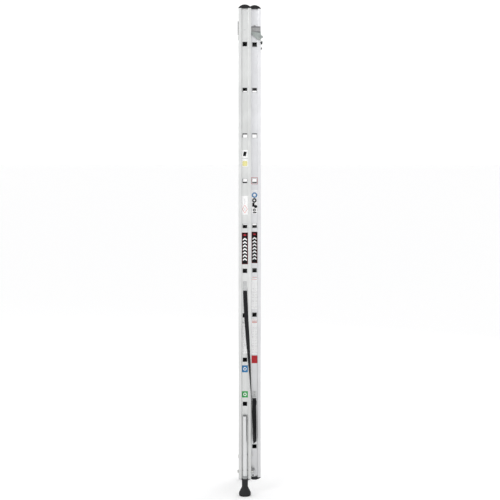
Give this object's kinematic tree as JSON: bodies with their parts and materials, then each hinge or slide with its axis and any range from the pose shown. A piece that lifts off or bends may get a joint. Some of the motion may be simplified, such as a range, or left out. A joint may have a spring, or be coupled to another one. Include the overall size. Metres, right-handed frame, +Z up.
{
  "type": "extension ladder",
  "caption": "Two-section aluminium extension ladder with domed end caps, bell-shaped rubber feet, hook fittings with safety latches and webbing spread straps.",
  "frame": {"origin": "on the floor, midway between the sides and midway between front and back", "axes": "+X to the ladder's right along the rungs, +Y from the outer section to the inner section, +Z up along the rails"},
  "size_m": [0.4726, 0.1606, 3.061],
  "materials": {
    "outer_aluminium": "extruded, natural, fine lengthwise lines",
    "inner_aluminium": "extruded, natural, fine lengthwise lines",
    "leg_aluminium": "drawn tube, bright",
    "rivet_aluminium": "blind rivets, dull",
    "guide_steel": "zinc-plated sheet, dull grey",
    "hook_steel": "zinc-plated sheet, slightly green grey",
    "zinc_steel": "zinc-plated fasteners and wire",
    "black_plastic": "moulded, satin",
    "grey_plastic": "moulded, matt",
    "foot_rubber": "moulded rubber, matt",
    "webbing": "woven polyester webbing"
  },
  "bodies": {
    "outer_section": {"outer_rail_left": "outer_aluminium", "outer_rail_right": "outer_aluminium", "outer_rung_01": "outer_aluminium", "outer_rung_02": "outer_aluminium", "outer_rung_03": "outer_aluminium", "outer_rung_04": "outer_aluminium", "outer_rung_05": "outer_aluminium", "outer_rung_06": "outer_aluminium", "outer_rung_07": "outer_aluminium", "outer_rung_08": "outer_aluminium", "outer_rung_09": "outer_aluminium", "outer_rung_10": "outer_aluminium", "outer_top_cap_left": "black_plastic", "outer_top_cap_right": "black_plastic", "outer_bottom_plug_left": "grey_plastic", "outer_bottom_plug_right": "grey_plastic", "leg_tube_left": "leg_aluminium", "leg_tube_right": "leg_aluminium", "rubber_foot_left": "foot_rubber", "rubber_foot_right": "foot_rubber", "leg_bolts": "zinc_steel", "top_guide_left": "guide_steel", "top_guide_right": "guide_steel", "top_hook_left": "hook_steel", "top_hook_right": "hook_steel", "latch_springs": "zinc_steel", "outer_rivets": "rivet_aluminium", "outer_strap_plates": "guide_steel", "strap_left": "webbing", "strap_right": "webbing"},
    "inner_section": {"inner_rail_left": "inner_aluminium", "inner_rail_right": "inner_aluminium", "inner_rung_01": "inner_aluminium", "inner_rung_02": "inner_aluminium", "inner_rung_03": "inner_aluminium", "inner_rung_04": "inner_aluminium", "inner_rung_05": "inner_aluminium", "inner_rung_06": "inner_aluminium", "inner_rung_07": "inner_aluminium", "inner_rung_08": "inner_aluminium", "inner_rung_09": "inner_aluminium", "inner_rung_10": "inner_aluminium", "inner_top_cap_left": "black_plastic", "inner_top_cap_right": "black_plastic", "inner_bottom_cap_left": "black_plastic", "inner_bottom_cap_right": "black_plastic", "lower_guide_left": "grey_plastic", "lower_guide_right": "grey_plastic", "hook_pins": "zinc_steel", "hook_springs": "zinc_steel", "inner_rivets": "rivet_aluminium", "inner_strap_plates": "guide_steel"},
    "rung_hook_left": {"rung_hook_left": "hook_steel"},
    "safety_latch_left": {"latch_lever_left": "zinc_steel", "latch_knob_left": "black_plastic"},
    "rung_hook_right": {"rung_hook_right": "hook_steel"},
    "safety_latch_right": {"latch_lever_right": "zinc_steel", "latch_knob_right": "black_plastic"}
  },
  "joints": [
    {"name": "fly_slide", "type": "slide", "parent": "outer_section", "child": "inner_section", "axis": [0, 0, 1], "range_m": [0, 1.96], "deforming": ["strap_left", "strap_right"]},
    {"name": "rung_hook_swing_left", "type": "hinge", "parent": "inner_section", "child": "rung_hook_left", "pos_m": [-0.1369, -0.00325, 0.263], "axis": [-1, 0, 0], "range_deg": [0, 17], "stiffness_Nm_per_rad": 0.4, "springref_deg": -17.19},
    {"name": "latch_swing_left", "type": "hinge", "parent": "outer_section", "child": "safety_latch_left", "pos_m": [-0.17, 0.05475, 2.86], "axis": [1, 0, 0], "range_deg": [0, 50], "stiffness_Nm_per_rad": 0.05, "springref_deg": -17.19},
    {"name": "rung_hook_swing_right", "type": "hinge", "parent": "inner_section", "child": "rung_hook_right", "pos_m": [0.1369, -0.00325, 0.263], "axis": [-1, 0, 0], "range_deg": [0, 17], "stiffness_Nm_per_rad": 0.4, "springref_deg": -17.19},
    {"name": "latch_swing_right", "type": "hinge", "parent": "outer_section", "child": "safety_latch_right", "pos_m": [0.17, 0.05475, 2.86], "axis": [1, 0, 0], "range_deg": [0, 50], "stiffness_Nm_per_rad": 0.05, "springref_deg": -17.19}
  ]
}
